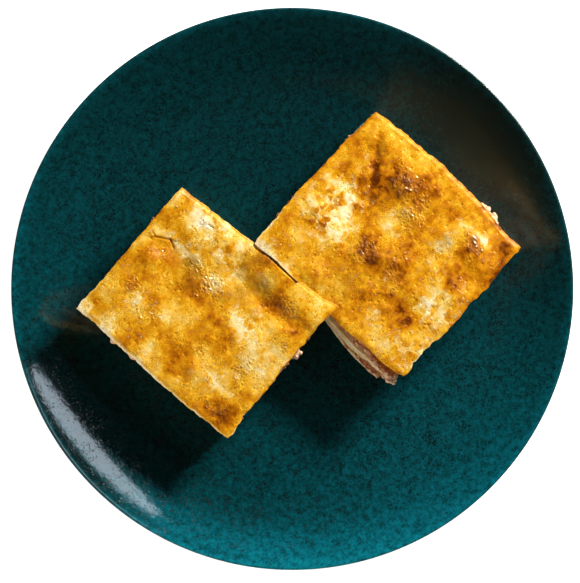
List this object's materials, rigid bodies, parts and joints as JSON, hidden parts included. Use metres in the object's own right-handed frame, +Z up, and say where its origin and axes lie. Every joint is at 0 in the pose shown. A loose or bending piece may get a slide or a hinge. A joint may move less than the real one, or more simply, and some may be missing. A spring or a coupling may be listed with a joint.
{
  "type": "plate of lasagna bolognese",
  "caption": "Round coupe dinner plate with a foot ring, carrying square cut portions of layered lasagna with a browned cheese top, ready to serve.",
  "frame": {"origin": "on the plate's axis, at the level of the foot ring's underside, which is what the plate stands on", "axes": "+Z up, out of the plate; +Y to the far side and +X to the right side of the plate as served"},
  "size_m": [0.27, 0.27, 0.0444],
  "materials": {
    "glaze": "glossy dark teal glaze with fine black specks",
    "crust": "browned cheese and pasta top, golden orange to brown, with a thin film of oil",
    "pasta": "cooked egg pasta sheet, cream, moist",
    "bechamel": "set white sauce with cheese, pale yellow, smooth and moist",
    "meat": "minced meat in tomato sauce, red brown, lumpy and moist"
  },
  "bodies": {
    "root": {"plate": "glaze", "left_bottom_sheet": "pasta", "left_lower_meat": "meat", "left_lower_sheet": "pasta", "left_bechamel": "bechamel", "left_middle_meat": "meat", "left_upper_sheet": "pasta", "left_upper_meat": "meat", "left_top_sheet": "crust", "right_bottom_sheet": "pasta", "right_lower_meat": "meat", "right_lower_sheet": "pasta", "right_bechamel": "bechamel", "right_middle_meat": "meat", "right_upper_sheet": "pasta", "right_upper_meat": "meat", "right_top_sheet": "crust"}
  },
  "joints": []
}
